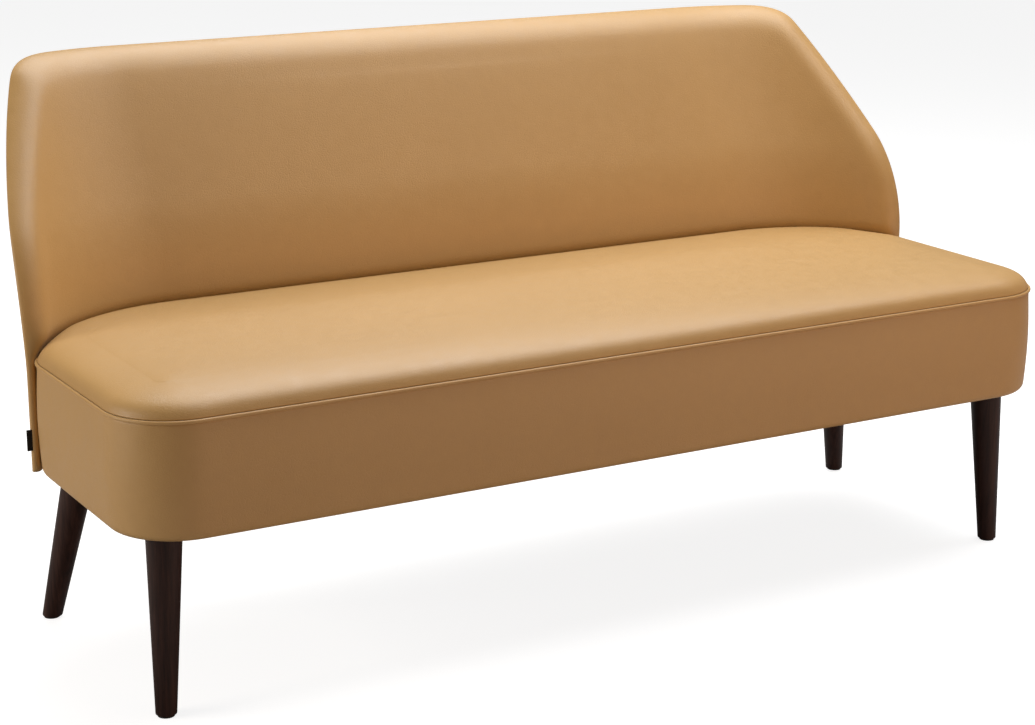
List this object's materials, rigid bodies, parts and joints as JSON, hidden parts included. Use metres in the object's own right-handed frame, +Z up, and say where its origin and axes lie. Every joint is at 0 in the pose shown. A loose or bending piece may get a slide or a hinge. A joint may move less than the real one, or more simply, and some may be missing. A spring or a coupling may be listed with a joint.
{
  "type": "sofa",
  "caption": "Armless upholstered sofa: box seat with a piped crowned top, thin leaning wrap-around back with sloping wings, and splayed tapered dark wood legs.",
  "frame": {"origin": "on the floor, under the middle of the sofa's overall box", "axes": "+X along the seat's length, +Y from the front towards the back, +Z up"},
  "size_m": [1.6199, 0.7338, 0.846],
  "materials": {
    "tan_leather": "satin, fine grain",
    "foam": "open-cell foam",
    "wadding": "soft fibre",
    "grey_felt": "felted",
    "black_cloth": "non-woven",
    "black_tape": "woven tape",
    "dark_stained_wood": "satin lacquer over dark stain",
    "beech": "sawn",
    "plywood": "sanded",
    "fibreboard": "smooth",
    "black_plastic": "matt",
    "steel": "zinc plated"
  },
  "bodies": {
    "root": {"back_bolts": "steel", "back_felt": "grey_felt", "back_foam": "foam", "back_front_cover": "tan_leather", "back_rear_cover": "tan_leather", "back_rim_strip": "tan_leather", "back_shell": "plywood", "back_spacers": "plywood", "back_tee_nuts": "steel", "border_padding": "foam", "clip_screws": "steel", "cross_rail_centre": "beech", "cross_rail_left": "beech", "cross_rail_right": "beech", "dust_cover": "black_cloth", "dust_cover_staples": "steel", "edge_strip": "foam", "frame_facing": "fibreboard", "frame_ring_lower": "plywood", "frame_ring_upper": "plywood", "frame_screws": "steel", "front_rail": "beech", "glide_nails": "steel", "leg_block_front_left": "beech", "leg_block_front_right": "beech", "leg_block_rear_left": "beech", "leg_block_rear_right": "beech", "leg_bolts": "steel", "leg_front_left": "dark_stained_wood", "leg_front_right": "dark_stained_wood", "leg_glides": "black_plastic", "leg_inserts": "steel", "leg_rear_left": "dark_stained_wood", "leg_rear_right": "dark_stained_wood", "piping_cord": "wadding", "piping_cover": "tan_leather", "rear_rail": "beech", "seam_tab": "black_tape", "seat_border_cover": "tan_leather", "seat_foam_core": "foam", "seat_foam_topper": "foam", "seat_top_cover": "tan_leather", "seat_wadding": "wadding", "side_rail_left": "beech", "side_rail_right": "beech", "spring_clips": "steel", "spring_felt": "grey_felt", "springs": "steel"}
  },
  "joints": []
}
